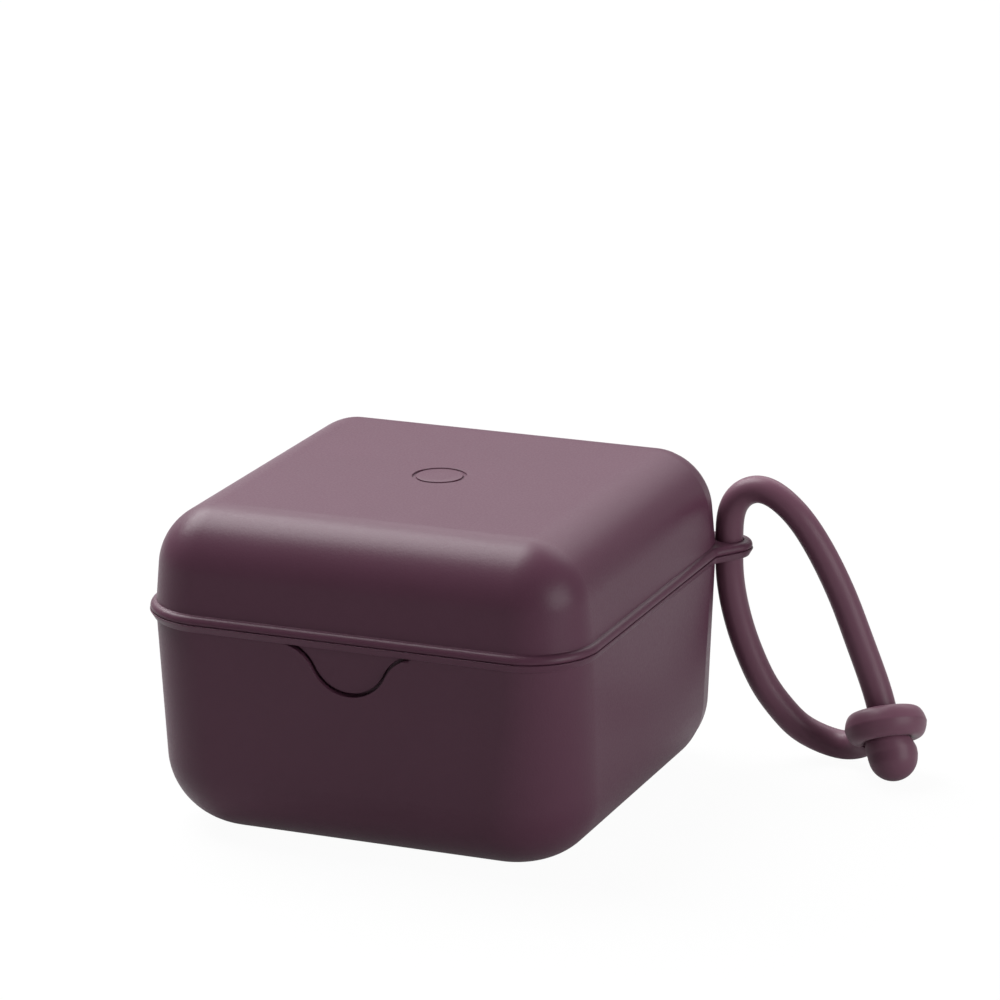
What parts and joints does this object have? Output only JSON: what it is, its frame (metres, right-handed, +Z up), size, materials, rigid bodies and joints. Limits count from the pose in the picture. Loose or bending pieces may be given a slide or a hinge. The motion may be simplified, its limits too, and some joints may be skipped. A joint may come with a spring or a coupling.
{
  "type": "pacifier steam case",
  "caption": "Rounded square steam case for pacifiers, with a lift-off domed lid, a beaded rim, a thumb recess and a looped silicone strap through ears at one corner.",
  "frame": {"origin": "middle of the base's flat underside, on the surface that the case stands on", "axes": "+Z up, -Y towards the thumb recess in the front wall, +X to the right seen from the front; the strap's ears stand at the corner between +X and +Y"},
  "size_m": [0.1305, 0.0927, 0.0638],
  "materials": {
    "case_plastic": "fine matte grain, dark plum",
    "strap_silicone": "smooth matte silicone, dark plum"
  },
  "bodies": {
    "base": {"base": "case_plastic", "strap_cord": "strap_silicone", "strap_ring": "strap_silicone", "strap_ball": "strap_silicone"},
    "lid": {"lid": "case_plastic"}
  },
  "joints": [
    {"name": "lid_lift", "type": "slide", "parent": "base", "child": "lid", "axis": [0, 0, 1], "range_m": [0, 0.024], "deforming": ["strap_cord"]}
  ]
}
